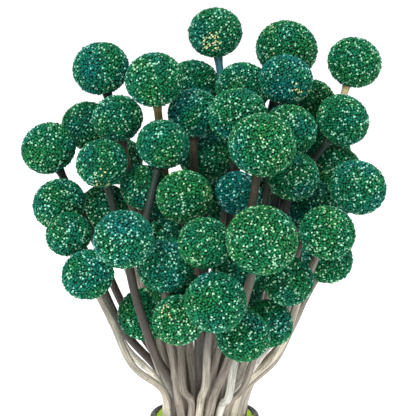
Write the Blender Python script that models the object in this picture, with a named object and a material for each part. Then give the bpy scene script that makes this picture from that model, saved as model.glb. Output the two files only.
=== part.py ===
"""A bunch of dried billy buttons: round green flower heads on bare stems, standing in a green glass vase.

Metres, +Z up. The origin is the middle of the vase's base, on the surface that it stands on. -Y is the front.
"""

import math

import bmesh
import bpy
import numpy as np
from mathutils import Matrix, Vector

MM = 0.001

# The vase: a turned outline, given as radius and height up the outside and then down the inside.
VASE_HEIGHT = 150 * MM
VASE_FLOOR = 8 * MM
VASE_SIDES = 24
VASE_OUTSIDE = [
    (35, 0), (38.5, 4), (43.5, 28), (45.5, 56), (42, 82), (32, 105), (24, 119), (22.3, 130), (23.6, 147.5),
]
VASE_LIP = [(22.8, 150), (21.4, 150)]
VASE_INSIDE = [
    (20, 143), (19.1, 130), (20.8, 119.5), (28.8, 105), (38.5, 82), (42, 56), (40, 28), (35, 11), (31, 8),
]

# The bunch, as seen from the front and a little above: every head's middle is given across, up and ahead of the
# bunch's own middle, with its width. The rows run from the top of the bunch to the bottom.
VIEW_TILT = math.radians(12)
VIEW_DISTANCE = 1000 * MM
BUNCH_MIDDLE = np.array((1.5 * MM, 0, VASE_HEIGHT + 89.5 * MM))
HEADS_IN_FRONT = [
    (3, 74, -12, 23.5),
    (33, 67, -7, 26.5),
    (61.5, 61.5, 0, 23.5),
    (-45, 59, 4, 24.5),
    (-22.5, 54, 21, 25.5),
    (32.5, 54, 14, 23.5),
    (-6.5, 52, 0, 23),
    (14.5, 50.5, -2, 24),
    (43, 44.5, -4, 22),
    (-6, 40, 14, 23),
    (12.5, 39, 28, 26),
    (-38, 38, 10, 22),
    (56.5, 37, 17, 23.5),
    (-51, 35, -8, 22),
    (34, 33, 22, 24),
    (22.5, 27, 50, 29.5),
    (-19, 27, 36, 23),
    (-67, 25.5, 4, 24),
    (-1.5, 22.5, -22, 24),
    (-38, 20, -10, 22),
    (-44.5, 19, 20, 22.5),
    (53.5, 16, -6, 24),
    (35.5, 14, 31, 23),
    (63, 9, 14, 25),
    (-27, 9, -6, 21),
    (12.5, 6.5, 36, 20),
    (-10, 5, 26, 25),
    (-62.5, 2, -9, 23.5),
    (44, 1, -6, 25),
    (-43.5, -0.5, -18, 23),
    (50, -10, 18, 24.5),
    (-58.5, -11, 8, 20.5),
    (-35.5, -13, 30, 26.5),
    (22.5, -13.5, 46, 31),
    (-16, -14.5, -28, 24),
    (-1.5, -14.5, 32, 23.5),
    (50, -21, -2, 23),
    (-18, -24, 16, 25),
    (-50.5, -28, 17, 23),
    (33.5, -30.5, 14, 22.5),
    (11.5, -31.5, -30, 25),
    (3, -39.5, 40, 27),
    (-26, -44.5, 0, 24.5),
    (-12.5, -47, 20, 23),
    (25, -48, 2, 22),
    (14.5, -53.5, 22, 23.5),
    (12, -24, 16, 22),
    (-13, -35, 8, 22),
]
HEADS_BEHIND = [
    (48, 25, -24, 24),
    (28.5, 2, -30, 27),
    (6, 5, -42, 27),
    (-19, -5, -30, 26),
    (37, -16, -34, 25),
    (22, -40, -30, 25),
]

# A head is a ball, a little flatter than it is wide, covered in florets larger than life.
HEAD_PLUMPNESS = 0.9
SPIRAL_POINTS = 32
GOLDEN_ANGLE = math.pi * (3 - math.sqrt(5))
HOLLOW_REACH = 0.94
FLORET_HEIGHT = 0.155
SEAT_DEPTH = 0.88
SEAT_RADIUS = 0.2
SEAT_SIDES = 6
HEAD_GAP = 0.5 * MM

# The stems: straight above the mouth where they can be, bent round each other, and pressed together in it.
STEM_SHARE = 0.148
STEM_SPREAD = 0.08
STEM_TOP = 0.8
STEM_SIDES = 5
STEM_GAP = 0.45 * MM
LEAN_ALLOWANCE = 1.35
SEATING_GAP = 0.3 * MM
BELOW_MOUTH = [VASE_FLOOR + SEATING_GAP, 26 * MM, 84 * MM, 143 * MM]
ABOVE_MOUTH = [0.15, 0.38, 0.68]
MOUTH_RADIUS = 16 * MM
MOUTH_PITCH = 4 * MM
BUNDLE_REACH = 19.3 * MM
FAN_POINT = VASE_HEIGHT - 38 * MM
TWIST_ABOVE = math.radians(30)
TWIST_BELOW = math.radians(55)

# The stems stand in clusters, each with its cut feet pressed into one: one in the middle and four round it.
OUTER_CLUSTERS = 4
CLUSTER_SIZE = 11
CLUSTER_RADIUS = 20 * MM
FOOT_OVERLAP = 0.68
FREE_ABOVE = 24 * MM

# How the bunch is settled: heads and stems are nudged in turns until they are clear of each other.
SAMPLE_STEP = 4 * MM
SLIDES = 80
SLIDE_EASE = 0.4
HIDING_ROUNDS = 12
LONGEST_SLIDE = 16 * MM
SPREADING_ROUNDS = 300
GATHER = 0.97
PASSES = 10
PASS_ROUNDS = 30
SMOOTHING_ROUNDS = 200
CLEARING_ROUNDS = 120
LARGEST_NUDGE = 2 * MM
RETURN_EASE = 0.05
BEHIND_SHARE = 0.35
SLACK = 0.2
STIFFNESS = 60 * MM
HOLD = 1e6
NO_WALL = 1.0


def clear_scene():
    for thing in list(bpy.data.objects):
        bpy.data.objects.remove(thing, do_unlink=True)


def make_material(name, colour, roughness, transmission=0.0):
    material = bpy.data.materials.new(name)
    material.use_nodes = True
    shader = material.node_tree.nodes["Principled BSDF"]
    shader.inputs["Base Color"].default_value = (*colour, 1)
    shader.inputs["Roughness"].default_value = roughness
    shader.inputs["Metallic"].default_value = 0
    shader.inputs["Transmission Weight"].default_value = transmission
    material.diffuse_color = (*colour, 1)
    return material


def add_object(name, bm, material):
    """Makes a flat-shaded object from a bmesh, with its faces pointing out."""
    bmesh.ops.recalc_face_normals(bm, faces=bm.faces)
    mesh = bpy.data.meshes.new(name)
    bm.to_mesh(mesh)
    bm.free()
    mesh.materials.append(material)
    thing = bpy.data.objects.new(name, mesh)
    bpy.context.scene.collection.objects.link(thing)
    return thing


def make_vase(material):
    """Turns the outline round Z. The middle of the base and of the floor are single points on the axis."""
    outline = [(0, 0)] + VASE_OUTSIDE + VASE_LIP + VASE_INSIDE + [(0, VASE_FLOOR / MM)]
    bm = bmesh.new()
    points = [bm.verts.new((radius * MM, 0, height * MM)) for radius, height in outline]
    edges = [bm.edges.new(pair) for pair in zip(points, points[1:])]
    turned = points + edges
    full = 2 * math.pi
    up = (0, 0, 1)
    bmesh.ops.spin(bm, geom=turned, axis=up, cent=(0, 0, 0), angle=full, steps=VASE_SIDES, use_merge=True)
    bmesh.ops.remove_doubles(bm, verts=bm.verts, dist=0.01 * MM)
    vase = add_object("vase", bm, material)
    vase.data.shade_smooth()
    vase.data.set_sharp_from_angle(angle=math.radians(40))
    return vase


def placed(rows):
    """The middle and radius of each head, from where it is seen and how far ahead it is."""
    across, up, ahead, width = rows.T
    nearer = 1 - ahead / VIEW_DISTANCE
    cosine, sine = math.cos(VIEW_TILT), math.sin(VIEW_TILT)
    back = up * nearer * sine - ahead * cosine
    height = up * nearer * cosine + ahead * sine
    return np.stack([across * nearer, back, height], 1) + BUNCH_MIDDLE, width * nearer / 2


def slide_apart(rows):
    """Slides heads that would touch along the line of sight, so that they still show where they did."""
    rows = rows.copy()
    for _ in range(SLIDES):
        centres, radii = placed(rows)
        apart = ((centres[:, None] - centres[None, :]) ** 2).sum(-1)
        depth = rows[:, None, 2] - rows[None, :, 2]
        reach = radii[:, None] + radii[None, :] + HEAD_GAP
        short = np.sqrt(np.clip(reach**2 - apart + depth**2, 0, None)) - np.abs(depth)
        np.fill_diagonal(short, 0)
        rows[:, 2] += (np.clip(short, 0, None) * np.sign(depth)).sum(1) * SLIDE_EASE
    return rows


def hide_stems(rows, places):
    """Slides heads ahead of the stems that would cross them in the view, up to the longest slide."""
    start = rows[:, 2]
    for _ in range(HIDING_ROUNDS):
        ahead, back = stems_in_the_way(rows, places)
        room = np.clip(1 - np.abs(rows[:, 2] - start) / LONGEST_SLIDE, 0, 1)
        rows = rows.copy()
        rows[:, 2] += (ahead - back) * room * SLIDE_EASE
        rows = slide_apart(rows)
    return rows


def stems_in_the_way(rows, places):
    """How far ahead heads must slide to hide the stems that pass, and how far back those stems' heads."""
    feet = np.column_stack([places, np.full(len(places), VASE_HEIGHT)]) - BUNCH_MIDDLE
    up = np.array((0, math.sin(VIEW_TILT), math.cos(VIEW_TILT)))
    feet_seen = np.stack([feet[:, 0], feet @ up, up[1] * feet[:, 2] - up[2] * feet[:, 1]], 1)
    rise = rows[:, :3] - feet_seen
    flat = rise[:, None, :2]
    part = ((rows[None, :, :2] - feet_seen[:, None, :2]) * flat).sum(-1) / (flat**2).sum(-1)
    part = np.clip(part, 0, 1)
    passing = feet_seen[:, None] + part[..., None] * rise[:, None]
    miss = np.hypot(*(passing - rows[None, :, :3])[..., :2].transpose(2, 0, 1))
    radii = rows[:, 3] / 2
    reach = radii[None, :] * (1 + STEM_SHARE) + STEM_GAP
    across = np.hypot(*(rows[:, None, :2] - rows[None, :, :2]).transpose(2, 0, 1))
    over = (across < radii[:, None] + radii[None, :]) & (rows[:, None, 2] > rows[None, :, 2])
    hides = ~over & (part < 1) & (np.arange(len(rows)) < len(HEADS_IN_FRONT))[None, :]
    need = np.sqrt(np.clip(reach**2 - miss**2, 0, None)) - (rows[None, :, 2] - passing[..., 2])
    need = np.where(hides & (miss < reach), np.clip(need, 0, None), 0)
    return need.max(0), (need * part).max(1)


def pushes_apart(points, reach):
    """How far each row of 2D points must move for all of them to be the given reach from each other."""
    apart = points[:, None] - points[None, :]
    distance = np.sqrt((apart**2).sum(-1)) + 1e-9
    short = np.clip(reach - distance, 0, None) / 2
    np.fill_diagonal(short, 0)
    return (apart * (short / distance)[..., None]).sum(1)


def mouth_places(centres):
    """Where each stem passes the mouth: spread evenly, in the order in which the stems fan out above."""
    lean = centres[:, :2] / (centres[:, 2:] - FAN_POINT)
    rank = np.argsort(np.argsort(np.hypot(*lean.T)))
    radius = MOUTH_RADIUS * np.sqrt((rank + 0.5) / len(rank))
    angle = np.arctan2(lean[:, 1], lean[:, 0]) - TWIST_ABOVE
    places = np.stack([radius * np.cos(angle), radius * np.sin(angle)], 1)
    for _ in range(SPREADING_ROUNDS):
        places = places + pushes_apart(places, MOUTH_PITCH)
        outside = np.hypot(*places.T)[:, None]
        places = places * np.minimum(1, MOUTH_RADIUS / outside)
    return places


def cluster_numbers(places):
    """Puts the stems nearest the axis in cluster 0, and shares the others round it by their direction."""
    order = np.argsort(np.hypot(*places.T))
    middle = len(places) - OUTER_CLUSTERS * CLUSTER_SIZE
    outer = order[middle:]
    outer = outer[np.argsort(np.arctan2(places[outer, 1], places[outer, 0]))]
    numbers = np.zeros(len(places), int)
    numbers[outer] = 1 + np.arange(len(outer)) // CLUSTER_SIZE
    return numbers


def foot_places(places, clusters, radii):
    """Where each stem stands on the vase's floor: pressed into the others of its cluster."""
    cosine, sine = math.cos(TWIST_BELOW), math.sin(TWIST_BELOW)
    turn = np.array(((cosine, sine), (-sine, cosine)))
    feet = np.zeros_like(places)
    for number in range(OUTER_CLUSTERS + 1):
        own = clusters == number
        middle = places[own].mean(0)
        reach = (radii[own, None] + radii[None, own]) * FOOT_OVERLAP
        spread = places[own] - middle
        for _ in range(SPREADING_ROUNDS):
            spread = spread * GATHER
            spread = spread + pushes_apart(spread, reach)
        length = CLUSTER_RADIUS / np.hypot(*middle) if number else 0
        feet[own] = (middle * length + spread) @ turn.T
    return feet


def knot_heights(centres):
    """Each stem's knots: the same heights for all up to the mouth, then parts of the way to its head."""
    above = VASE_HEIGHT + (centres[:, 2:] - VASE_HEIGHT) * np.array(ABOVE_MOUTH + [1])
    below = np.tile(BELOW_MOUTH, (len(centres), 1))
    return np.hstack([below, above])


def first_knots(centres, places, feet, heights):
    """Straight runs from foot to mouth and from mouth to head, before the stems are bent clear."""
    rise = np.clip(heights / VASE_HEIGHT, 0, 1)[..., None]
    climb = (np.clip(heights - VASE_HEIGHT, 0, None) / (centres[:, 2:] - VASE_HEIGHT))[..., None]
    inside = feet[:, None] * (1 - rise) + places[:, None] * rise
    outside = places[:, None] * (1 - climb) + centres[:, None, :2] * climb
    return np.where(heights[..., None] > VASE_HEIGHT, outside, inside)


def smoother(heights):
    """The matrix that irons out the bends of one stem, with its foot and its head held."""
    count = len(heights)
    bends = np.zeros((count, count))
    for knot in range(1, count - 1):
        below = heights[knot] - heights[knot - 1]
        above = heights[knot + 1] - heights[knot]
        row = np.zeros(count)
        row[knot - 1 : knot + 2] = 1 / below, -1 / below - 1 / above, 1 / above
        bends += np.outer(row, row)
    hold = np.eye(count)
    hold[0, 0] = hold[-1, -1] = HOLD
    return np.linalg.inv(hold + STIFFNESS**2 * bends) @ hold


def sample_weights(heights, levels):
    """How the place at each level follows from the knots, and which levels the stem reaches."""
    weights = np.zeros((len(heights), len(levels), heights.shape[1]))
    for number, own in enumerate(heights):
        for knot in range(len(own)):
            weights[number, :, knot] = np.interp(levels, own, np.eye(len(own))[knot])
    return weights, levels[None, :] <= heights[:, -1:]


def push_off_stems(points, levels, radii, reached, touching_allowed):
    """Pushes stems apart where the distance across them, not along the level, is too small."""
    slopes = np.gradient(points, levels, axis=1)
    apart = points[:, None] - points[None, :]
    slope = (slopes[:, None] + slopes[None, :]) / 2
    level = (apart**2).sum(-1) + 1e-12
    along = (apart * slope).sum(-1) ** 2 / (1 + (slope**2).sum(-1))
    across = np.sqrt(np.clip(level - along, 1e-12, None))
    reach = (radii[:, None] + radii[None, :])[..., None] + STEM_GAP
    both = reached[:, None] & reached[None, :] & ~touching_allowed
    short = np.where(both, np.clip(reach - across, 0, None), 0) / 2
    return (apart * (short / across)[..., None]).sum(1)


def head_contacts(points, levels, radii, reached, centres, head_radii):
    """Where stems run into heads that aren't their own: the way out, and how far it is too short."""
    apart = points[:, None] - centres[None, :, None, :2]
    in_front = np.arange(len(points)) < len(HEADS_IN_FRONT)
    apart[..., 1] += (head_radii * in_front * BEHIND_SHARE)[None, :, None]
    drop = levels[None, None] - centres[None, :, 2:]
    flat = np.sqrt((apart**2).sum(-1)) + 1e-9
    distance = np.sqrt(((points[:, None] - centres[None, :, None, :2]) ** 2).sum(-1) + drop**2)
    reach = (radii[:, None] + head_radii[None, :])[..., None] + STEM_GAP
    other = ~np.eye(len(points), dtype=bool)[..., None] & reached[:, None]
    short = np.where(other, np.clip(reach - distance, 0, None), 0)
    return apart / flat[..., None], short * distance / flat, short, distance


def push_off_vase(points, levels, radii):
    """Keeps the stems off the glass, and closer still to each other in the mouth."""
    outline = sorted((height, radius) for radius, height in VASE_INSIDE + VASE_LIP[1:])
    wall = np.interp(levels, [row[0] * MM for row in outline], [row[1] * MM for row in outline])
    wall = np.where(levels > BELOW_MOUTH[-1] - SAMPLE_STEP, np.minimum(wall, BUNDLE_REACH), wall)
    wall = np.where(levels > VASE_HEIGHT + SAMPLE_STEP / 2, NO_WALL, wall)
    radius = np.sqrt((points**2).sum(-1)) + 1e-9
    over = np.clip(radius + radii[:, None] * LEAN_ALLOWANCE + STEM_GAP - wall[None], 0, None)
    return -points * (over / radius)[..., None]


def relax(knots, heights, centres, head_radii, radii, clusters, rounds, smoothing):
    """Bends stems clear of each other, of heads and of the glass. Gives the heads' wish to slide as well."""
    levels = np.arange(VASE_FLOOR, centres[:, 2].max(), SAMPLE_STEP)
    weights, reached = sample_weights(heights, levels)
    shared = np.swapaxes(weights, 1, 2)
    smoothers = np.stack([smoother(own) for own in heights])
    together = (clusters[:, None] == clusters[None, :])[..., None] & (levels < FREE_ABOVE)
    touching_allowed = together | np.eye(len(clusters), dtype=bool)[..., None]
    sight = np.array((0, -math.cos(VIEW_TILT)))
    wish = np.zeros(len(centres))
    for turn in range(rounds):
        points = weights @ knots
        push = push_off_stems(points, levels, radii, reached, touching_allowed)
        way, sideways, short, distance = head_contacts(points, levels, radii, reached, centres, head_radii)
        push += (way * np.clip(sideways, 0, LARGEST_NUDGE)[..., None]).sum(1)
        push += push_off_vase(points, levels, radii)
        wish -= (short * (way @ sight)).sum((0, 2)) / rounds
        touched = (np.abs(push).sum(-1) > 0)[..., None]
        move = (shared @ push) / (shared @ touched + SLACK)
        move[:, 0] = move[:, -1] = 0
        knots = knots + move
        knots = knots + smoothing * (1 - turn / rounds) * (smoothers @ knots - knots)
    return knots, wish


def lay_bunch():
    """Settles heads and stems together. Gives where each head is, and each stem's knots and cluster."""
    rows = np.array(HEADS_IN_FRONT + HEADS_BEHIND) * MM
    places = mouth_places(placed(rows)[0])
    first = hide_stems(rows, places)
    rows = first
    centres, head_radii = placed(rows)
    radii = stem_radii(head_radii)
    places = mouth_places(centres)
    clusters = cluster_numbers(places)
    heights = knot_heights(centres)
    knots = first_knots(centres, places, foot_places(places, clusters, radii), heights)
    for _ in range(PASSES):
        knots, wish = relax(knots, heights, centres, head_radii, radii, clusters, PASS_ROUNDS, 1)
        rows = rows.copy()
        rows[:, 2] += np.clip(wish, -LARGEST_NUDGE, LARGEST_NUDGE) + (first[:, 2] - rows[:, 2]) * RETURN_EASE
        rows = slide_apart(rows)
        centres, head_radii = placed(rows)
        heights = knot_heights(centres)
        knots[:, -1] = centres[:, :2]
    knots, _ = relax(knots, heights, centres, head_radii, radii, clusters, SMOOTHING_ROUNDS, 1)
    knots, _ = relax(knots, heights, centres, head_radii, radii, clusters, CLEARING_ROUNDS, 0)
    return centres, head_radii, radii, heights, knots, clusters


def stem_radii(head_radii):
    """A big head has a thick stem, and some stems are a little thicker or thinner by a rule."""
    number = np.arange(len(head_radii))
    return head_radii * STEM_SHARE * (1 + STEM_SPREAD * np.sin(GOLDEN_ANGLE * number))


def make_head(name, centre, radius, axis, material):
    """A ball of floret points over hollows set on a spiral, with a flat seat underneath for its stem."""
    bm = bmesh.new()
    for number in range(SPIRAL_POINTS):
        height = 1 - (number + 0.5) * (1 + SEAT_DEPTH) / SPIRAL_POINTS
        around = math.sqrt(1 - height * height)
        angle = number * GOLDEN_ANGLE
        bm.verts.new((around * math.cos(angle), around * math.sin(angle), height))
    for number in range(SEAT_SIDES):
        angle = 2 * math.pi * number / SEAT_SIDES
        bm.verts.new((SEAT_RADIUS * math.cos(angle), SEAT_RADIUS * math.sin(angle), -1))
    bmesh.ops.convex_hull(bm, input=bm.verts)
    for vert in bm.verts:
        vert.co.z = vert.co.z * HEAD_PLUMPNESS
        vert.co = vert.co * HOLLOW_REACH * radius
    bm.normal_update()
    covered = [face for face in bm.faces if face.normal.z > -0.99]
    bmesh.ops.poke(bm, faces=covered, offset=FLORET_HEIGHT * radius)
    turn = Vector((0, 0, 1)).rotation_difference(axis).to_matrix().to_4x4()
    bmesh.ops.transform(bm, matrix=Matrix.Translation(centre) @ turn, verts=bm.verts)
    return add_object(name, bm, material)


def seat_distance(radius):
    """How far below its head's middle a stem ends."""
    return HEAD_PLUMPNESS * HOLLOW_REACH * radius + SEATING_GAP


def make_stem(name, points, radii, material):
    """Carries a ring of few sides along the stem's knots. The foot is cut level."""
    points = [Vector(point) for point in points]
    runs = [(after - before).normalized() for before, after in zip(points, points[1:])]
    directions = [(one + other).normalized() for one, other in zip(runs, runs[1:])]
    directions = [Vector((0, 0, 1))] + directions + [runs[-1]]
    bm = bmesh.new()
    ring = []
    for point, direction, radius in zip(points, directions, radii):
        turn = Vector((0, 0, 1)).rotation_difference(direction)
        angles = [2 * math.pi * side / STEM_SIDES for side in range(STEM_SIDES)]
        corners = [point + turn @ Vector((math.cos(a), math.sin(a), 0)) * radius for a in angles]
        above = [bm.verts.new(corner) for corner in corners]
        edges = [bm.edges.new((above[side - 1], above[side])) for side in range(STEM_SIDES)]
        if ring:
            bmesh.ops.bridge_loops(bm, edges=ring + edges)
        else:
            bm.faces.new(above)
        ring = edges
    bm.faces.new(above)
    return add_object(name, bm, material)


def drop_scraps(bm):
    """Deletes all but the largest group of joined corners, as a union can leave crumbs and hollows."""
    left = set(bm.verts)
    groups = []
    while left:
        group, fresh = set(), [left.pop()]
        while fresh:
            group.update(fresh)
            fresh = {edge.other_vert(vert) for vert in fresh for edge in vert.link_edges} & left
            left -= fresh
        groups.append(group)
    largest = max(groups, key=len)
    bmesh.ops.delete(bm, geom=[vert for vert in bm.verts if vert not in largest], context="VERTS")


def fuse(name, things, material):
    """Joins solids that cross into one node, and removes the separate ones."""
    group = bpy.data.collections.new(name + "_pieces")
    bpy.context.scene.collection.children.link(group)
    for thing in things[1:]:
        group.objects.link(thing)
        bpy.context.scene.collection.objects.unlink(thing)
    union = things[0].modifiers.new("fuse", "BOOLEAN")
    union.operation = "UNION"
    union.operand_type = "COLLECTION"
    union.collection = group
    union.solver = "MANIFOLD"
    bpy.context.view_layer.update()
    fused = things[0].evaluated_get(bpy.context.evaluated_depsgraph_get())
    bm = bmesh.new()
    bm.from_mesh(fused.to_mesh())
    drop_scraps(bm)
    bmesh.ops.triangulate(bm, faces=bm.faces)
    for thing in things:
        bpy.data.objects.remove(thing, do_unlink=True)
    bpy.data.collections.remove(group)
    return add_object(name, bm, material)


def build():
    clear_scene()
    glass = make_material("green glass", (0.045, 0.16, 0.01), 0.05, transmission=1.0)
    straw = make_material("dried stem", (0.42, 0.37, 0.3), 0.75)
    green = make_material("dyed florets", (0.01, 0.16, 0.07), 0.8)
    make_vase(glass)
    centres, head_radii, radii, heights, knots, clusters = lay_bunch()
    stems = []
    for number, centre in enumerate(centres):
        path = np.column_stack([knots[number], heights[number]])
        axis = Vector(path[-1] - path[-2]).normalized()
        path[-1] = Vector(centre) - axis * seat_distance(head_radii[number])
        taper = np.interp(path[:, 2], [path[0, 2], path[-1, 2]], [1, STEM_TOP]) * radii[number]
        stems.append(make_stem(f"stem_{number + 1:02d}", path, taper, straw))
        make_head(f"head_{number + 1:02d}", Vector(centre), head_radii[number], axis, green)
    for cluster in range(OUTER_CLUSTERS + 1):
        own = [stem for stem, number in zip(stems, clusters) if number == cluster]
        fuse(f"stems_{cluster + 1}", own, straw)


build()
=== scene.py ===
# %% [markdown]
# # Dried billy buttons in a green glass vase
#
# A billy button is a ball of several hundred tiny florets on one bare stem. Growers dry the stems in
# bunches and dip the heads in dye, which takes unevenly: it pools between the florets and leaves their
# tips pale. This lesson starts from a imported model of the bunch, whose heads are balls with a few dozen
# large points and whose stems have five flat sides. Each of its nodes is replaced with a finer piece that
# keeps its place and its outline.

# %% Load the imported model
import math
import random

import bmesh
import bpy
from mathutils import Matrix, Vector, noise


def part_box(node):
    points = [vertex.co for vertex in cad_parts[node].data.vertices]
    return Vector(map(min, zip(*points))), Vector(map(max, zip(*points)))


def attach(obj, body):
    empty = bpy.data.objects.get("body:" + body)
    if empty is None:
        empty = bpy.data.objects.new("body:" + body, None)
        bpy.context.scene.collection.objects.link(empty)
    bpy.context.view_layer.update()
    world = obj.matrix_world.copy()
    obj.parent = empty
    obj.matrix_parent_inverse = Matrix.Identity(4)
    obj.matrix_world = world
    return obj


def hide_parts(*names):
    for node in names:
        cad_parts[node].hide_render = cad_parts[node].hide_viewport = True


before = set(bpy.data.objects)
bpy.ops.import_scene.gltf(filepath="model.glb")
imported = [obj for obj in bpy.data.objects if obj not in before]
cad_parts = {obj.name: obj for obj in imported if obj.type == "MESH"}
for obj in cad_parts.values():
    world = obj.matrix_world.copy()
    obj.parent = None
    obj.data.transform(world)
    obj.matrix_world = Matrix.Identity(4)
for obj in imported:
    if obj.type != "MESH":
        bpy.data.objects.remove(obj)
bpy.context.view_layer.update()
MM = 0.001
UP = Vector((0, 0, 1))

# %% [markdown]
# ## The camera
#
# The photograph looks a little down on the bunch, and the picture is as wide as 175 mm at the bunch's
# middle. A camera could be placed by eye, but a real distance and a field width tie it to the model: the
# lens follows from the sensor's width, the distance and the width of what it sees. The vase stays below
# the picture, all but its rim.

# %% Place the camera
VIEW_TILT = math.radians(12)
VIEW_DISTANCE = 1000 * MM
VIEW_WIDTH = 174.7 * MM
SENSOR_WIDTH = 36
BUNCH_MIDDLE = Vector((1.5, 0, 239.5)) * MM

towards_camera = Vector((0, -math.cos(VIEW_TILT), math.sin(VIEW_TILT)))
up_in_view = Vector((0, math.sin(VIEW_TILT), math.cos(VIEW_TILT)))
camera = bpy.data.objects.new("camera", bpy.data.cameras.new("camera"))
bpy.context.scene.collection.objects.link(camera)
camera.data.sensor_width = SENSOR_WIDTH
camera.data.lens = SENSOR_WIDTH * VIEW_DISTANCE / VIEW_WIDTH
camera.location = BUNCH_MIDDLE + towards_camera * VIEW_DISTANCE
camera.rotation_mode = "QUATERNION"
camera.rotation_quaternion = towards_camera.to_track_quat("Z", "Y")
bpy.context.scene.camera = camera
print("lens in mm:", round(camera.data.lens))

# %% [markdown]
# ## Small helpers
#
# A designer writes a colour in sRGB hex, and a shader adds up linear numbers, so the first helper turns
# one into the other. The next one adds a shader node: a plain value is typed into the socket, and another
# node's output is linked to it. Two more build on it: one spreads a noise over a wider range, because a
# noise seldom leaves the middle of its own, and one makes a colour lighter or darker by a number.

# %% Helpers for colours and shader nodes
NOISE_LOW = 0.3
NOISE_HIGH = 0.7


def linear(hex_colour):
    """The linear red, green and blue of a colour in sRGB hex."""
    channels = [int(hex_colour[i : i + 2], 16) / 255 for i in (1, 3, 5)]
    return Vector([c / 12.92 if c <= 0.04045 else ((c + 0.055) / 1.055) ** 2.4 for c in channels])


def add_node(tree, kind, sockets=None, **settings):
    """Adds a shader node, with its settings, and fills its sockets with values or links."""
    node = tree.nodes.new("ShaderNode" + kind)
    for name, value in settings.items():
        setattr(node, name, value)
    for name, value in (sockets or {}).items():
        if isinstance(value, bpy.types.NodeSocket):
            tree.links.new(value, node.inputs[name])
        else:
            node.inputs[name].default_value = value
    return node


def spread(tree, value, low, high):
    """A noise's value, carried from its usual span to the span from low to high."""
    spans = {"Value": value, "From Min": NOISE_LOW, "From Max": NOISE_HIGH, "To Min": low, "To Max": high}
    return add_node(tree, "MapRange", spans).outputs["Result"]


def scaled(tree, colour, factor):
    """A colour made lighter or darker by a factor."""
    return add_node(tree, "VectorMath", {0: colour, "Scale": factor}, operation="SCALE").outputs["Vector"]


def new_finish(name):
    """A new material, its node tree and its shader."""
    finish = bpy.data.materials.new(name)
    finish.use_nodes = True
    return finish, finish.node_tree, finish.node_tree.nodes["Principled BSDF"]


print("sRGB #808080 is linear", [round(c, 3) for c in linear("#808080")])

# %% [markdown]
# ## Adding a piece
#
# A finished mesh goes to the scene with its material, in place of the imported nodes that it stands for,
# which are hidden. Its object stays at the origin, so that its place is in its mesh. A count of triangles
# keeps an eye on how heavy the pieces grow.

# %% Helpers for pieces
def add_piece(name, bm, finish, slot, *nodes):
    """Makes an object of a bmesh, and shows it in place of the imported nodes."""
    mesh = bpy.data.meshes.new(name)
    bm.to_mesh(mesh)
    bm.free()
    mesh.materials.append(finish)
    piece = bpy.data.objects.new(name, mesh)
    bpy.context.scene.collection.objects.link(piece)
    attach(piece, "root")
    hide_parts(*nodes)
    return piece


def triangles(*pieces):
    """How many triangles the faces of the pieces come to."""
    return sum(len(face.vertices) - 2 for piece in pieces for face in piece.data.polygons)


print("triangles in the packed model:", triangles(*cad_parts.values()))

# %% [markdown]
# ## Finding the stems
#
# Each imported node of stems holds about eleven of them, fused at their feet. To dress one stem, its course
# must be known. It could be written down again, but then two lists would have to agree. Here it is read
# from the model: a bisect just above the fused feet leaves every stem as an island of its own, and the
# corners of an island, sorted by height, fall into rings of five. The middle of each ring is a point of
# that stem's course. The foot lies on the straight line through the cut and the first ring, down on the
# vase's floor.

# %% Read each stem's course
FUSED_BELOW = 24 * MM
FOOT_HEIGHT = 8.3 * MM
PACKED_SIDES = 5
SAME_CORNER = 0.005 * MM
ON_CUT = 0.01 * MM
CUT_TOLERANCE = 0.001 * MM
STEM_NODES = [name for name in sorted(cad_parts) if name.startswith("stems_")]


def islands(bm):
    """The groups of corners that edges join, in the mesh's own order."""
    reached = set()
    for start in bm.verts:
        if start in reached:
            continue
        reached.add(start)
        group = [start]
        # The group grows while the loop walks along it.
        for vert in group:
            others = [edge.other_vert(vert) for edge in vert.link_edges]
            fresh = [other for other in others if other not in reached]
            reached.update(fresh)
            group += fresh
        yield group


def middle(verts):
    """The average place of some corners."""
    return sum((vert.co for vert in verts), Vector()) / len(verts)


def courses(node):
    """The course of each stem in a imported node, as (point, radius) from the foot to the head's seat."""
    bm = bmesh.new()
    bm.from_mesh(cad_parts[node].data)
    bmesh.ops.remove_doubles(bm, verts=bm.verts, dist=SAME_CORNER)
    everything = list(bm.verts) + list(bm.edges) + list(bm.faces)
    level = UP * FUSED_BELOW
    bmesh.ops.bisect_plane(
        bm, geom=everything, plane_co=level, plane_no=UP, clear_inner=True, dist=CUT_TOLERANCE
    )
    found = []
    for group in islands(bm):
        cut = [vert for vert in group if vert.co.z < FUSED_BELOW + ON_CUT]
        above = sorted((vert for vert in group if vert not in cut), key=lambda vert: vert.co.z)
        rings = [above[i : i + PACKED_SIDES] for i in range(0, len(above), PACKED_SIDES)]
        course = [(middle(ring), (ring[0].co - middle(ring)).length) for ring in rings]
        first, radius = course[0]
        run = first - middle(cut)
        foot = first - run * ((first.z - FOOT_HEIGHT) / run.z)
        found.append([(foot, radius)] + course)
    bm.free()
    return found


stem_courses = {node: courses(node) for node in STEM_NODES}
print("stems in each node:", {node: len(found) for node, found in stem_courses.items()})

# %% [markdown]
# ## Matching stems and heads
#
# A head sits straight on the end of its stem, so the head nearest to a stem's last point is its own. The
# direction from that point to the head's middle is the head's axis, round which its florets wind.

# %% Give each head its middle, size and axis
HEAD_NODES = [name for name in sorted(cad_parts) if name.startswith("head_")]


def middle_and_radius(node):
    """The middle of a packed head and half of its largest side."""
    low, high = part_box(node)
    return (low + high) / 2, max(high - low) / 2


head_places = {node: middle_and_radius(node) for node in HEAD_NODES}
head_axes = {}
owner = {}
for node, found in stem_courses.items():
    for number, course in enumerate(found):
        tip = course[-1][0]
        head = min(HEAD_NODES, key=lambda name: (head_places[name][0] - tip).length)
        head_axes[head] = (head_places[head][0] - tip).normalized()
        owner[node, number] = head
print("heads with a stem:", len(head_axes), "of", len(HEAD_NODES))
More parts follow.
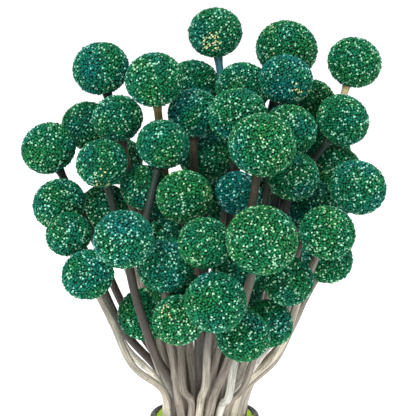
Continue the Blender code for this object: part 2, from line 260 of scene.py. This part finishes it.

# %% [markdown]
# ## The dye
#
# The florets are papery and were dipped in a strong green dye. Most heads came out a deep emerald, some
# leaned to blue-green where they sat longest in the bath, and some to a yellower green. A few florets that
# the dye missed kept their cream colour. Two more colours are painted light: a painted shade, dark between
# the florets, and painted highlights, a mint speckle on the tips of many. A picture could carry all this,
# but the colour belongs to each floret, so it is written on the corners of the mesh as an attribute, and
# the shader reads it.

# %% Name the dyes
# Each dye is deep, middle, and a pale mint for the painted highlights on the lips.
DYES = {
    "emerald": ("#064c33", "#147a50", "#aef4cc"),
    "sea": ("#064a48", "#0e7870", "#a0f2de"),
    "leaf": ("#0f4f26", "#288444", "#ccf8be"),
}
# The heads that lean to blue-green and those that lean to a yellower green, by a share of the whole way.
LEANING_TO_SEA = {26: 1, 10: 0.5, 29: 0.6, 6: 0.5, 33: 0.35, 38: 0.4, 24: 0.2, 39: 0.3, 4: 0.3, 12: 0.2}
LEANING_TO_LEAF = {27: 0.6, 34: 0.5, 16: 0.2, 43: 0.3, 44: 0.4, 2: 0.2, 3: 0.2, 36: 0.3, 9: 0.3, 31: 0.2}
# The painted shade between the florets, on their roots and on the ball under them.
FLORET_PAINTED_SHADE = linear("#08402a")
UNDYED = linear("#f2fab8")
# Where the dye missed a head: across and up from its middle in the view and radius, all in mm, and the
# share of the florets there that it missed.
MISSED = {
    "head_01": (-1.3, -4.6, 4.2, 0.5),
    "head_06": (5.5, -4.5, 4.5, 0.2),
    "head_21": (0, -6.5, 4, 0.2),
    "head_44": (-5, 4.5, 3.5, 0.25),
}


def dye_of(head, patch):
    """The deep and middle dye of a head, and the pale mint of its painted highlights. A patch leans to
    blue-green below 0 and to yellow above.
    """
    number = int(head.split("_")[1])
    lean = patch + LEANING_TO_LEAF.get(number, 0) - LEANING_TO_SEA.get(number, 0)
    towards = "leaf" if lean > 0 else "sea"
    shares = zip(DYES["emerald"], DYES[towards])
    return [linear(own).lerp(linear(other), min(abs(lean), 1)) for own, other in shares]


print("heads that lean to a dye of their own:", len(LEANING_TO_SEA) + len(LEANING_TO_LEAF))

# %% [markdown]
# ## One floret
#
# Up close a floret is an open bud: a pointed root, a belly, and a small lip. Here it is about 1.5 mm wide,
# and a head takes 850 to 1,840 of them, more than grow on a real one, to give it as fine a grain. So one
# floret can have only a few faces. Its corners are two rings of three, the lip and the belly, turned
# against each other, and one more for the root. The convex hull closes them into a bud of ten triangles.
# More sides would be rounder, but at this size the flat facets do what the petals do: they catch the light
# here and there.

# %% Model one floret
FLORET_SIDES = 3
LIP_RADIUS = 0.3 * MM
BELLY_RADIUS = 0.88 * MM
BELLY_DROP = 0.5 * MM
ROOT_DROP = 1.5 * MM
LIP, BELLY, ROOT = range(3)


def model_floret():
    """A bud with its lip at height 0, its belly turned against the lip, and its root below."""
    bm = bmesh.new()
    for radius, drop, turn in ((LIP_RADIUS, 0, 0), (BELLY_RADIUS, BELLY_DROP, math.pi / FLORET_SIDES)):
        ring = bmesh.ops.create_circle(bm, segments=FLORET_SIDES, radius=radius)["verts"]
        bmesh.ops.rotate(bm, verts=ring, cent=(0, 0, 0), matrix=Matrix.Rotation(turn, 3, "Z"))
        bmesh.ops.translate(bm, verts=ring, vec=-UP * drop)
    bm.verts.new(-UP * ROOT_DROP)
    bmesh.ops.convex_hull(bm, input=bm.verts)
    return bm


def part_at(height):
    """The part of a floret that a corner at this height belongs to."""
    if height > -BELLY_DROP / 2:
        return LIP
    return BELLY if height > -ROOT_DROP / 2 else ROOT


floret = model_floret()
floret_mesh = bpy.data.meshes.new("floret")
floret.to_mesh(floret_mesh)
floret_parts = [part_at(vert.co.z) for vert in floret.verts]
print("corners:", len(floret.verts), "triangles:", len(floret.faces))
floret.free()

# %% [markdown]
# ## Where the florets stand
#
# On the real head the florets open in spirals, each turned from the last by the golden angle, about 137.5
# degrees. One rule places them all evenly from the crown down to the stem: their heights go down in equal
# steps, which gives every floret the same area of the ball.

# %% Places on a slightly flattened ball
GOLDEN_ANGLE = math.pi * (3 - math.sqrt(5))
FLORET_AREA = 1.4 * MM * MM
COVERED_TO = 0.97
PLUMPNESS = 0.92


def floret_places(radius):
    """Where the florets of a head with its axis along Z stand: points on a slightly flattened ball."""
    count = round(4 * math.pi * radius**2 / FLORET_AREA)
    for number in range(count):
        height = 1 - (number + 0.5) * (1 + COVERED_TO) / count
        around = math.sqrt(1 - height * height)
        angle = number * GOLDEN_ANGLE
        yield Vector((around * math.cos(angle), around * math.sin(angle), height * PLUMPNESS)) * radius


print("florets on a head 24 mm wide:", len(list(floret_places(12 * MM))))

# %% [markdown]
# ## The colours of a floret
#
# The deep dye lies on the belly and the middle dye on the lip, each a little lighter or darker by a draw.
# One lip in five is a glint, a painted highlight in pale mint, and every root takes the painted shade
# between the florets. In a patch that the dye missed, some lips are cream.

# %% Colour one floret
GLINTS = 0.2
BELLY_LIGHT = (0.5, 1.5)
LIP_LIGHT = (0.5, 1.3)
GLINT_PALENESS = (0.3, 1)
UNDYED_LIGHT = (0.7, 1)


def floret_colours(head, place, dyes_and_highlight, draw):
    """The colours of a floret's lip, belly and root: some lips are painted highlights, the root painted
    shade.
    """
    deep, middle_dye, glint_highlight = dyes_and_highlight
    belly = deep * draw.uniform(*BELLY_LIGHT)
    lip = middle_dye * draw.uniform(*LIP_LIGHT)
    # Painted highlight: one lip in five is a pale glint.
    if draw.random() < GLINTS:
        lip = middle_dye.lerp(glint_highlight, draw.uniform(*GLINT_PALENESS))
    if head in MISSED:
        across, up, reach, share = MISSED[head]
        off = Vector((place.x - across * MM, place.dot(up_in_view) - up * MM))
        if place.dot(towards_camera) > 0 and off.length < reach * MM and draw.random() < share:
            lip = UNDYED * draw.uniform(*UNDYED_LIGHT)
    # Every root takes the painted shade.
    return lip, belly, FLORET_PAINTED_SHADE


example = floret_colours("head_02", UP * MM, dye_of("head_02", 0), random.Random("example"))
print("lip, belly and root of a floret:", [[round(c, 2) for c in colour] for colour in example])

# %% [markdown]
# ## Stamping a head
#
# To stamp a floret is to move the one floret's mesh to its place, add it to the head, and move it back.
# Each stamp leans, turns and varies in size a little by a seeded draw, because a grown head isn't a
# machined one. The florets stand on a ball, the imported base of the head, so that no light comes
# through between them. The ball is coloured with the painted shade.

# %% Stamp the florets of one head
EDGE_INSET = 0.1 * MM
STRAY = 0.22 * MM
TILT = math.radians(14)
FLORET_SIZES = (0.75, 1.15)
SUNK = 0.45 * MM
PATCH = 9 * MM
CORE_DEPTH = 0.95 * MM
CORE_SUBDIVISIONS = 2


def small_vector(draw, spread_by):
    """A short vector that points any way."""
    return Vector((draw.gauss(0, spread_by), draw.gauss(0, spread_by), draw.gauss(0, spread_by)))


def stamp_at(centre, place, draw):
    """The matrix that stands a floret on a head, and leans, turns, sizes and sinks it by the draw."""
    outward = place.normalized()
    towards = (outward + small_vector(draw, TILT)).normalized()
    stand = UP.rotation_difference(towards).to_matrix().to_4x4()
    spin = Matrix.Rotation(draw.uniform(0, math.tau), 4, "Z")
    size = Matrix.Scale(draw.uniform(*FLORET_SIZES), 4)
    return Matrix.Translation(centre + place - outward * draw.uniform(0, SUNK)) @ stand @ spin @ size


def add_floret(bm, stamp, colours):
    """Adds a floret to a head, with its colours on its corners."""
    dye_and_painted_light_layer = bm.verts.layers.float_color["dye_and_painted_light"]
    before = len(bm.verts)
    floret_mesh.transform(stamp)
    bm.from_mesh(floret_mesh)
    floret_mesh.transform(stamp.inverted())
    bm.verts.ensure_lookup_table()
    for vert, part in zip(bm.verts[before:], floret_parts):
        vert[dye_and_painted_light_layer] = (*colours[part], 1)


def add_core(bm, matrix, radius):
    """Adds the ball under the florets, coloured with the painted shade."""
    dye_and_painted_light_layer = bm.verts.layers.float_color["dye_and_painted_light"]
    core = bmesh.ops.create_icosphere(bm, subdivisions=CORE_SUBDIVISIONS, radius=radius)["verts"]
    bmesh.ops.transform(bm, verts=core, matrix=matrix @ Matrix.Diagonal((1, 1, PLUMPNESS, 1)))
    # Painted shade all over the ball.
    for vert in core:
        vert[dye_and_painted_light_layer] = (*FLORET_PAINTED_SHADE, 1)


def make_head(head, finish):
    """A head in place of a packed one."""
    centre, radius = head_places[head]
    turn = UP.rotation_difference(head_axes[head]).to_matrix().to_4x4()
    draw = random.Random(head)
    bm = bmesh.new()
    bm.verts.layers.float_color.new("dye_and_painted_light")
    for place in floret_places(radius - EDGE_INSET):
        place = turn @ (place + small_vector(draw, STRAY)).normalized() * place.length
        dyes_and_highlight = dye_of(head, noise.noise((centre + place) / PATCH))
        stamp = stamp_at(centre, place, draw)
        add_floret(bm, stamp, floret_colours(head, place, dyes_and_highlight, draw))
    add_core(bm, Matrix.Translation(centre) @ turn, radius - CORE_DEPTH)
    return add_piece(head.replace("head", "billy_button"), bm, finish, "dyed_florets", head)


# %% [markdown]
# ## The finish of the florets
#
# Real florets are thin dried petals, nearly matt. The speckle of small lights on a head is painted
# highlight on the lips, much more than shine, and the dark between the florets is painted shade. So the
# colour comes from the corners, a noise as fine as a petal's cells, about 0.3 mm, breaks it up, and the
# shader's own highlights are kept faint.

# %% Dyed dried petals
florets_finish, tree, shader = new_finish("dyed_dried_petals")
CELL = 0.3 * MM
CELL_LIGHT = (0.8, 1.2)
# The corners' colours: the dye, with the painted shade and painted highlights among it.
dye_and_painted_light = add_node(tree, "Attribute", attribute_name="dye_and_painted_light")
coordinates = add_node(tree, "TexCoord")
cell_noise = {"Vector": coordinates.outputs["Object"], "Scale": 1 / CELL, "Detail": 2.0}
cells = add_node(tree, "TexNoise", cell_noise)
cell_light = spread(tree, cells.outputs["Fac"], *CELL_LIGHT)
speckled_colour = scaled(tree, dye_and_painted_light.outputs["Color"], cell_light)
tree.links.new(speckled_colour, shader.inputs["Base Color"])
shader.inputs["Roughness"].default_value = 0.55
shader.inputs["Specular IOR Level"].default_value = 0.12
heads = [make_head(head, florets_finish) for head in HEAD_NODES]
print("triangles in the heads:", triangles(*heads))

# %% [markdown]
# ## The stems
#
# A dried stem is a round, wiry stalk 3 to 4 mm thick, finely grooved along its length, with a swelling
# here and there where a bract fell off and a small collar under the head. A curve with a bevel would give
# a plain tube. Here a straight tube is made once, by extruding a circle ring by ring, and then every stem
# is a copy of it whose rings are carried to places along a smooth course. The straight tube's own corners
# are kept as an attribute: they tell the shader what is along the stem and what is round it, so the grain
# follows every bend.

# %% Make one straight tube
STEM_SIDES = 8
STEM_RINGS = 84


def straight_tube():
    """A closed tube of radius 1 with a ring at each whole height."""
    bm = bmesh.new()
    bmesh.ops.create_circle(bm, cap_ends=True, segments=STEM_SIDES, radius=1)
    ends = [edge for edge in bm.edges]
    for _ in range(STEM_RINGS - 1):
        grown = bmesh.ops.extrude_edge_only(bm, edges=ends)["geom"]
        fresh = [part for part in grown if isinstance(part, bmesh.types.BMVert)]
        bmesh.ops.translate(bm, vec=UP, verts=fresh)
        ends = [part for part in grown if isinstance(part, bmesh.types.BMEdge) and part.is_boundary]
    bmesh.ops.contextual_create(bm, geom=ends)
    bmesh.ops.recalc_face_normals(bm, faces=bm.faces)
    return bm


tube = straight_tube()
print("corners of the tube:", len(tube.verts))

# %% [markdown]
# ## A smooth course
#
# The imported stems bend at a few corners. A real stem bends evenly, so its course is a curve through those
# corners: between two of them it follows a cubic whose slopes at both ends are the average slopes there.
# Plain straight runs would show as kinks, and a single arc would miss the neighbours that the stem has to
# clear. The vase's outline is smoothed by the same function later.

# %% A smooth curve through points
def smooth_curve(points, count):
    """Evenly spread places on a curve through the points, each with its station, span and part of it."""
    stations = [0.0]
    for one, other in zip(points, points[1:]):
        stations.append(stations[-1] + (other - one).length)
    runs = [(b - a) / (t - s) for a, b, s, t in zip(points, points[1:], stations, stations[1:])]
    slopes = [runs[0]] + [(one + other) / 2 for one, other in zip(runs, runs[1:])] + [runs[-1]]
    for number in range(count):
        station = stations[-1] * number / (count - 1)
        span = max(i for i in range(len(runs)) if stations[i] <= station)
        length = stations[span + 1] - stations[span]
        t = (station - stations[span]) / length
        place = points[span] * (2 * t**3 - 3 * t**2 + 1) + points[span + 1] * (3 * t**2 - 2 * t**3)
        place += slopes[span] * length * (t**3 - 2 * t**2 + t) + slopes[span + 1] * length * (t**3 - t**2)
        yield place, station, span, t


corners = [Vector(), Vector((1, 0, 1)), Vector((0, 0, 2))]
print("a curve through three corners:", [round(place.x, 2) for place, *_ in smooth_curve(corners, 5)])

# %% [markdown]
# ## A grown stem
#
# Grown stalks aren't plain tubes. Three shallow grooves wind slowly round each one, small rings mark
# where bracts fell off, and the last few millimetres widen into the collar that holds the head.

# %% Carry the tube along a stem
STEM_GROWTH = 0.18 * MM
COLLAR_LENGTH = 3.5 * MM
COLLAR_GROWTH = 0.28
SCARS = 3
SCAR_SPAN = (0.35, 0.95)
SCAR_LENGTH = 1.6 * MM
SCAR_GROWTH = 0.12
GROOVES = 3
GROOVE_DEPTH = 0.035
GROOVE_TWIST = 9 * MM


def stem_rings(course):
    """The place, radius and station of each of the tube's rings along a stem."""
    points = [point for point, _ in course]
    radii = [radius for _, radius in course]
    for place, station, span, t in smooth_curve(points, STEM_RINGS):
        yield place, radii[span] * (1 - t) + radii[span + 1] * t + STEM_GROWTH, station


def swelling(station, length, scars):
    """How much thicker the stem is at a station: at its scars, and in its collar under the head."""
    growth = sum(SCAR_GROWTH * math.exp(-(((station - scar) / SCAR_LENGTH) ** 2)) for scar in scars)
    return 1 + growth + COLLAR_GROWTH * max(0, 1 - (length - station) / COLLAR_LENGTH) ** 2


def carry_tube(course, draw):
    """A copy of the tube, bent along a stem's course, with its straight corners kept as the grain."""
    bm = tube.copy()
    grain = bm.verts.layers.float_vector.new("grain")
    rings = list(stem_rings(course))
    length = rings[-1][2]
    scars = [draw.uniform(*SCAR_SPAN) * length for _ in range(SCARS)]
    phase = draw.uniform(0, 1)
    for vert in bm.verts:
        number = round(vert.co.z)
        place, radius, station = rings[number]
        before = rings[max(number - 1, 0)][0]
        after = rings[min(number + 1, STEM_RINGS - 1)][0]
        turn = UP.rotation_difference(after - before)
        radius *= swelling(station, length, scars)
        around = GROOVES * math.atan2(vert.co.y, vert.co.x) + station / GROOVE_TWIST + phase * math.tau
        spoke = Vector((vert.co.x, vert.co.y, 0)) * radius * (1 + GROOVE_DEPTH * math.sin(around))
        vert[grain] = spoke + UP * (station + phase)
        # The foot's own ring stays level, because a stem is cut flat.
        vert.co = place + (turn @ spoke if number else spoke)
    return bm


spacing = list(stem_rings(stem_courses["stems_1"][0]))[1][2]
print("rings are apart, in mm:", round(spacing / MM, 1))

# %% [markdown]
# ## The stems' colours
#
# Dried stems are a pale grey straw, some nearly white, some brown. Among the heads they are darkened by a
# painted shade that grows with height, and under a few heads the dye has crept down, blue-green or olive.
# Under the other heads a dark stain runs down, partly dye and partly painted shade. These tones go on the
# corners as a second attribute, and the shader adds the grain to them.

# %% Stain the stems, paint their shade and join each cluster
STRAW_TONES = ("#e3dccd", "#cdc4b3", "#ebe5d9", "#b3a99b", "#d8cfbb", "#5a504a", "#9b9184")
STRAWS = [linear(tone) for tone in STRAW_TONES]
STRAW_LIGHT = (0.9, 1.1)
# Dark stains that run down from the heads: partly dye, partly painted shade among the heads.
DYE_STAINS_AND_PAINTED_SHADE = [linear(tone) for tone in ("#12332a", "#3a3422", "#23221b", "#161a15")]
STAIN_AND_SHADE_SHARES = (0.5, 0.95)
HEAD_STAINS = {"head_01": "#3f8791", "head_05": "#7c6f42", "head_03": "#c9b98c", "head_12": "#4a4138"}
HEAD_STAIN_SHARE = 0.9
STAIN_AND_SHADE_LENGTH = 48 * MM
# Painted shade on the stems among the heads: they darken between these two heights.
PAINTED_SHADE_HEIGHTS = (214 * MM, 236 * MM)
STEM_PAINTED_SHADE = linear("#0f2118")
STEM_PAINTED_SHADE_SHARE = 0.95


def stain_and_shade_stem(bm, head, draw):
    """Writes the stem's tones on its corners: straw, stains, and painted shade."""
    stem_tone_and_shade = bm.verts.layers.float_color.new("stem_tone_and_shade")
    grain = bm.verts.layers.float_vector["grain"]
    top = max(vert[grain].z for vert in bm.verts)
    straw = draw.choice(STRAWS) * draw.uniform(*STRAW_LIGHT)
    if head in HEAD_STAINS:
        stain_and_shade, strength = linear(HEAD_STAINS[head]), HEAD_STAIN_SHARE
    else:
        stain_and_shade, strength = draw.choice(DYE_STAINS_AND_PAINTED_SHADE), draw.uniform(*STAIN_AND_SHADE_SHARES)
    shade_from, shade_full = PAINTED_SHADE_HEIGHTS
    for vert in bm.verts:
        # Painted shade, growing with height among the heads.
        shaded = min(max((vert.co.z - shade_from) / (shade_full - shade_from), 0), 1)
        tone = straw.lerp(STEM_PAINTED_SHADE, STEM_PAINTED_SHADE_SHARE * shaded)
        # The stain fades down from the head, partly dye and partly painted shade.
        down = top - vert[grain].z
        share = strength * math.exp(-((down / STAIN_AND_SHADE_LENGTH) ** 2))
        vert[stem_tone_and_shade] = (*tone.lerp(stain_and_shade, share), 1)


def make_cluster(node, finish):
    """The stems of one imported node, with smooth sides and flat ends."""
    bm = bmesh.new()
    for number, course in enumerate(stem_courses[node]):
        head = owner[node, number]
        draw = random.Random(f"stem of {head}")
        stem = carry_tube(course, draw)
        stain_and_shade_stem(stem, head, draw)
        mesh = bpy.data.meshes.new("stem")
        stem.to_mesh(mesh)
        stem.free()
        bm.from_mesh(mesh)
        bpy.data.meshes.remove(mesh)
    for face in bm.faces:
        face.smooth = len(face.verts) == 4
    return add_piece(node.replace("stems", "dried_stems"), bm, finish, "dried_stem", node)


print("straw tones:", len(STRAWS), "dye stains:", len(DYE_STAINS_AND_PAINTED_SHADE) + len(HEAD_STAINS))

# %% [markdown]
# ## Dried flower stalk
#
# Under a lens a dry stalk shows fibres: pale and dark streaks half a millimetre wide that run its whole
# length. A noise gives them, once its coordinates are squeezed along the stem. A second, rounder noise
# gives the bruises.

# %% Dried flower stalk
stems_finish, tree, shader = new_finish("dried_flower_stalk")
STREAK = 0.5 * MM
STREAK_STRETCH = 0.04
STREAK_LIGHT = (0.4, 1.35)
FLECK = 2.5 * MM
BRUISE = linear("#4d4133")
BRUISED_FROM = 0.62
BRUISED_TO = 0.72
BRUISE_SHARE = 0.6
GROOVE_HEIGHT = 0.15 * MM
# The stem's tones from the corners, with their stains and painted shade.
stem_tone_and_shade = add_node(tree, "Attribute", attribute_name="stem_tone_and_shade")
grain = add_node(tree, "Attribute", attribute_name="grain")
stretched = add_node(tree, "Mapping", {"Vector": grain.outputs["Vector"], "Scale": (1, 1, STREAK_STRETCH)})
streak_noise = {"Vector": stretched.outputs["Vector"], "Scale": 1 / STREAK, "Detail": 3.0}
streaks = add_node(tree, "TexNoise", streak_noise)
fleck_noise = {"Vector": grain.outputs["Vector"], "Scale": 1 / FLECK, "Detail": 4.0}
flecks = add_node(tree, "TexNoise", fleck_noise)
fibres = streaks.outputs["Fac"]
streaked = scaled(tree, stem_tone_and_shade.outputs["Color"], spread(tree, fibres, *STREAK_LIGHT))
peaks = {"Value": flecks.outputs["Fac"], "From Min": BRUISED_FROM, "From Max": BRUISED_TO}
bruised = add_node(tree, "MapRange", {**peaks, "To Max": BRUISE_SHARE})
bruise_mix = {"Factor": bruised.outputs["Result"], "A": streaked, "B": (*BRUISE, 1)}
mixed = add_node(tree, "Mix", bruise_mix, data_type="RGBA")
tree.links.new(mixed.outputs["Result"], shader.inputs["Base Color"])
groove = add_node(tree, "Bump", {"Height": fibres, "Strength": 0.5, "Distance": GROOVE_HEIGHT})
tree.links.new(groove.outputs["Normal"], shader.inputs["Normal"])
shader.inputs["Roughness"].default_value = 0.7
clusters = [make_cluster(node, stems_finish) for node in STEM_NODES]
tube.free()
print("triangles in the stems:", triangles(*clusters))

# %% [markdown]
# ## The vase
#
# The bunch stands in a blown bottle-green vase with a round belly, a slim neck and a fire-polished lip. A
# glass vessel needs both of its walls, because light bends at each. So its whole outline is drawn, up the
# outside, over the lip and down the inside, and spun once round the axis. Solidify could give a wall to
# one skin, but a blown vase is thick at its foot and thin in its belly.

# %% Spin the vase
# Radius and height in mm, up the outside and down the inside.
VASE_OUTSIDE = [
    (35, 0.6), (38.5, 4), (43.5, 28), (45.5, 56), (42, 82),
    (32, 105), (24, 119), (22.3, 130), (23.6, 147.5),
]
VASE_INSIDE = [
    (20.4, 147.5), (19.1, 130), (20.8, 119.5), (28.8, 105),
    (38.5, 82), (42, 56), (40, 28), (35, 11), (26, 8),
]
VASE_BASE = [(0, 1), (24, 0.8), (30, 0), (34, 0)]
VASE_FLOOR = (0, 7.6)
VASE_LIP_HEIGHT = 150
VASE_STEPS = 96
WALL_POINTS = 36
LIP_POINTS = 8
SEAM = 0.01 * MM


def in_outline(points):
    """Points of the outline in metres, in the plane of X and Z."""
    return [Vector((radius, 0, height)) * MM for radius, height in points]


def lip_arc(outer, inner):
    """The round of the lip, from the top of the outside to the top of the inside."""
    centre = (outer + inner) / 2
    half = (outer - inner) / 2
    rise = UP * (VASE_LIP_HEIGHT * MM - centre.z)
    angles = [math.pi * number / LIP_POINTS for number in range(1, LIP_POINTS)]
    return [centre + half * math.cos(angle) + rise * math.sin(angle) for angle in angles]


def make_vase(finish):
    """The whole wall of the vase, spun round the axis."""
    outside = [place for place, *_ in smooth_curve(in_outline(VASE_OUTSIDE), WALL_POINTS)]
    inside = [place for place, *_ in smooth_curve(in_outline(VASE_INSIDE), WALL_POINTS)]
    lip = lip_arc(outside[-1], inside[0])
    outline = in_outline(VASE_BASE) + outside + lip + inside + in_outline([VASE_FLOOR])
    bm = bmesh.new()
    points = [bm.verts.new(place) for place in outline]
    parts = points + [bm.edges.new(pair) for pair in zip(points, points[1:])]
    bmesh.ops.spin(
        bm, geom=parts, axis=UP, cent=(0, 0, 0), angle=math.tau, steps=VASE_STEPS, use_merge=True
    )
    bmesh.ops.remove_doubles(bm, verts=bm.verts, dist=SEAM)
    bmesh.ops.recalc_face_normals(bm, faces=bm.faces)
    for face in bm.faces:
        face.smooth = True
    return add_piece("glass_vase", bm, finish, "vase_glass", "vase")


print("wall at the mouth, in mm:", round(VASE_OUTSIDE[-1][0] - VASE_INSIDE[0][0], 1))

# %% [markdown]
# ## Bottle-green glass
#
# Iron in the melt gives glass its green, deeper where the wall is thick or seen on edge, as at the rim.
# Soda-lime glass has an index of 1.52 and a fire-polished skin. The tint is on the surface, and each
# crossing of a wall darkens it once more. A slow noise of about 25 mm in the bump is the unevenness that
# blowing leaves.

# %% Blown glass
glass_finish, tree, shader = new_finish("bottle_green_glass")
BLOWN_WAVE = 25 * MM
BLOWN_HEIGHT = 1 * MM
BLOWN_SHARE = 0.15
coordinates = add_node(tree, "TexCoord")
wave_noise = {"Vector": coordinates.outputs["Object"], "Scale": 1 / BLOWN_WAVE, "Detail": 0.0}
waves = add_node(tree, "TexNoise", wave_noise)
bump = {"Height": waves.outputs["Fac"], "Strength": BLOWN_SHARE, "Distance": BLOWN_HEIGHT}
ripple = add_node(tree, "Bump", bump)
tree.links.new(ripple.outputs["Normal"], shader.inputs["Normal"])
shader.inputs["Base Color"].default_value = (*linear("#83993a"), 1)
shader.inputs["Roughness"].default_value = 0.02
shader.inputs["IOR"].default_value = 1.52
shader.inputs["Transmission Weight"].default_value = 1
vase = make_vase(glass_finish)
print("triangles in the vase:", triangles(vase))

# %% [markdown]
# ## The studio
#
# A product picture on white needs a floor that reaches past the picture on every side. A big disc of pale
# card makes it. The card glows a little, so that it stays as white far from the lights as near them.

# %% Lay the floor
FLOOR_RADIUS = 9
FLOOR_SIDES = 64

floor_finish, tree, shader = new_finish("matt_white_card")
shader.inputs["Base Color"].default_value = (0.92, 0.92, 0.92, 1)
shader.inputs["Roughness"].default_value = 0.9
shader.inputs["Emission Color"].default_value = (1, 1, 1, 1)
shader.inputs["Emission Strength"].default_value = 0.5
bm = bmesh.new()
bmesh.ops.create_circle(bm, cap_ends=True, segments=FLOOR_SIDES, radius=FLOOR_RADIUS)
floor_mesh = bpy.data.meshes.new("floor")
bm.to_mesh(floor_mesh)
bm.free()
floor_mesh.materials.append(floor_finish)
floor = bpy.data.objects.new("floor", floor_mesh)
bpy.context.scene.collection.objects.link(floor)
print("floor is wide, in m:", 2 * FLOOR_RADIUS)

# %% [markdown]
# ## The lights
#
# A soft even light comes from all round. One stronger light gives the shapes a bright side, a weak low one
# in front opens the shade under the heads, and one above rounds the crown. These three are area lights:
# the bigger and nearer one is, the softer its shadow. Sizes are in metres and powers in watts.

# %% Set the lights
def add_softbox(name, place, size, power):
    """A round softbox that faces the middle of the bunch."""
    softbox = bpy.data.objects.new(name, bpy.data.lights.new(name, "AREA"))
    softbox.data.shape = "DISK"
    softbox.data.size = size
    softbox.data.energy = power
    softbox.location = place
    softbox.rotation_mode = "QUATERNION"
    softbox.rotation_quaternion = (place - BUNCH_MIDDLE).to_track_quat("Z", "Y")
    bpy.context.scene.collection.objects.link(softbox)


world = bpy.data.worlds.new("studio")
bpy.context.scene.world = world
world.use_nodes = True
sky = world.node_tree.nodes["Background"]
sky.inputs["Color"].default_value = (1, 1, 1, 1)
sky.inputs["Strength"].default_value = 0.5
add_softbox("key_light", place=Vector((-0.6, -1.1, 1.3)), size=0.5, power=20)
add_softbox("front_fill", place=Vector((0.25, -1.4, 0.3)), size=0.6, power=5)
add_softbox("top_light", place=Vector((0.5, 0.3, 1.5)), size=0.8, power=12)
bpy.context.scene.view_settings.view_transform = "Standard"
print("lights:", [light.name for light in bpy.data.lights])
